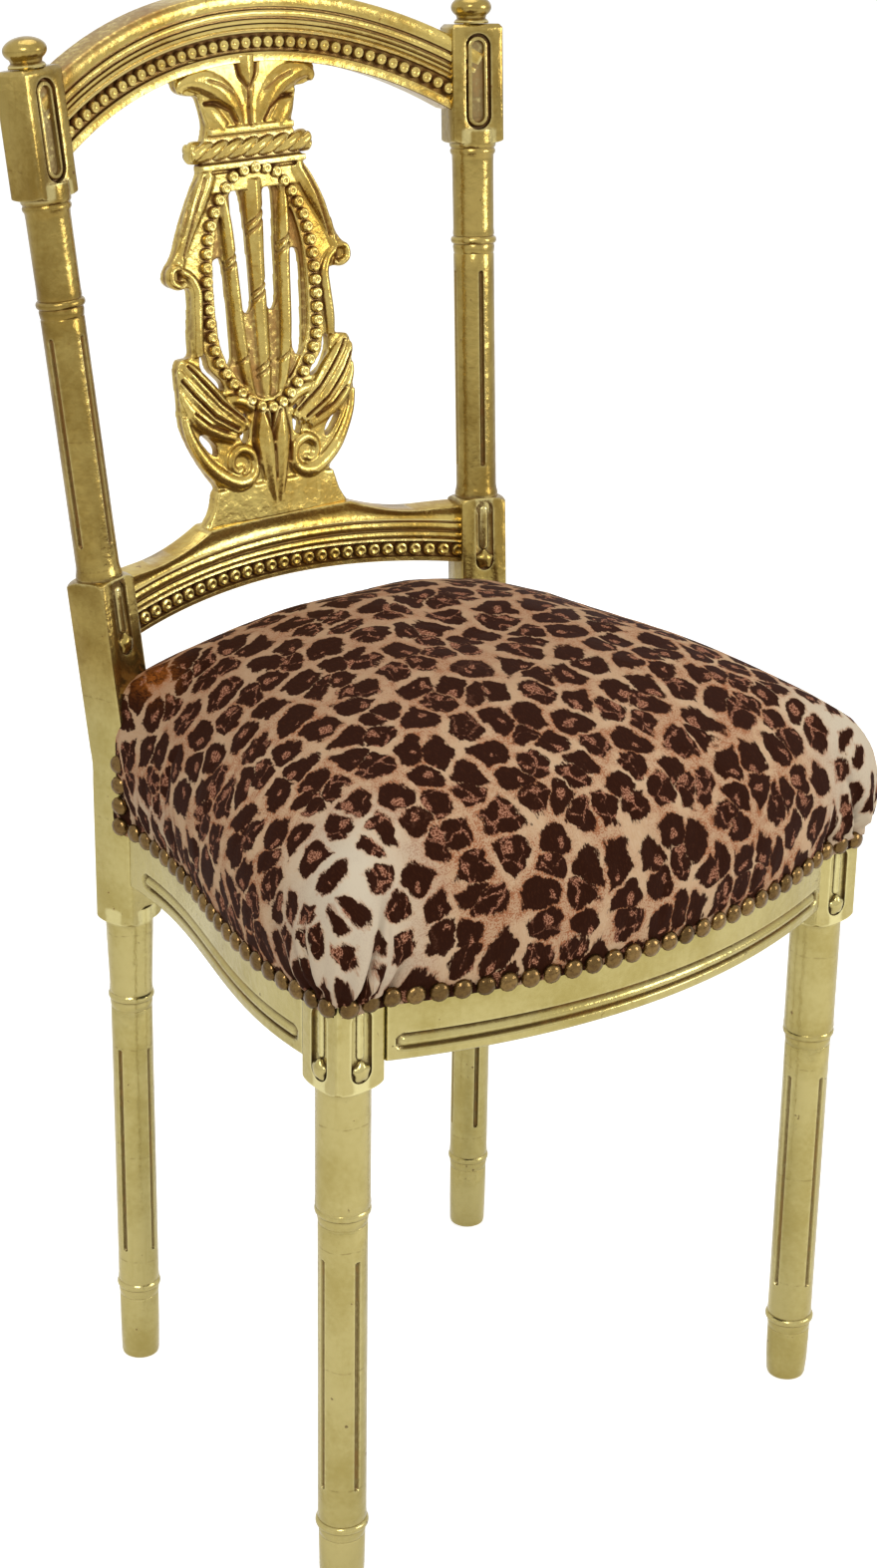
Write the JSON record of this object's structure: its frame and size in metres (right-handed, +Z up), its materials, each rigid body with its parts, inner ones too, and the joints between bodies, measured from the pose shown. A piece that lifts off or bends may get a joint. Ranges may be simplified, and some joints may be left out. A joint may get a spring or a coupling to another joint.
{
  "type": "upholstered side chair",
  "caption": "Gilt wooden side chair with a carved lyre splat, arched moulded back rails, turned fluted legs and a domed leopard print seat trimmed with nails.",
  "frame": {"origin": "middle of the footprint on the floor", "axes": "+Z up, +X to the right seen from the front, +Y to the back of the chair"},
  "size_m": [0.4396, 0.4504, 0.914],
  "materials": {
    "gilt": "pale greenish gold leaf with soft wear",
    "rich_gilt": "warm gold leaf with brown patina in the carving",
    "bare_wood": "sawn beech",
    "screw_steel": "plain steel",
    "jute": "coarse woven jute",
    "stuffing": "cotton wadding",
    "leopard_fabric": "tan cloth printed with dark brown leopard rosettes",
    "antique_brass": "dull antique brass",
    "black_cloth": "thin black cloth"
  },
  "bodies": {
    "root": {"front_leg_left": "gilt", "back_post_left": "gilt", "side_rail_left": "gilt", "finial_left": "gilt", "corner_block_front_left": "bare_wood", "corner_block_back_left": "bare_wood", "corner_screw_left_1": "screw_steel", "corner_screw_left_2": "screw_steel", "corner_screw_left_3": "screw_steel", "corner_screw_left_4": "screw_steel", "nail_trim_left": "antique_brass", "front_leg_right": "gilt", "back_post_right": "gilt", "side_rail_right": "gilt", "finial_right": "gilt", "corner_block_front_right": "bare_wood", "corner_block_back_right": "bare_wood", "corner_screw_right_1": "screw_steel", "corner_screw_right_2": "screw_steel", "corner_screw_right_3": "screw_steel", "corner_screw_right_4": "screw_steel", "nail_trim_right": "antique_brass", "front_rail": "gilt", "back_rail": "gilt", "crest_rail": "rich_gilt", "lower_back_rail": "rich_gilt", "lyre_splat": "rich_gilt", "nail_trim_front": "antique_brass", "nail_trim_back": "antique_brass", "webbing_long_1": "jute", "webbing_long_2": "jute", "webbing_long_3": "jute", "webbing_cross_1": "jute", "webbing_cross_2": "jute", "webbing_cross_3": "jute", "hessian": "jute", "seat_stuffing": "stuffing", "seat_cover": "leopard_fabric", "dust_cover": "black_cloth"}
  },
  "joints": []
}
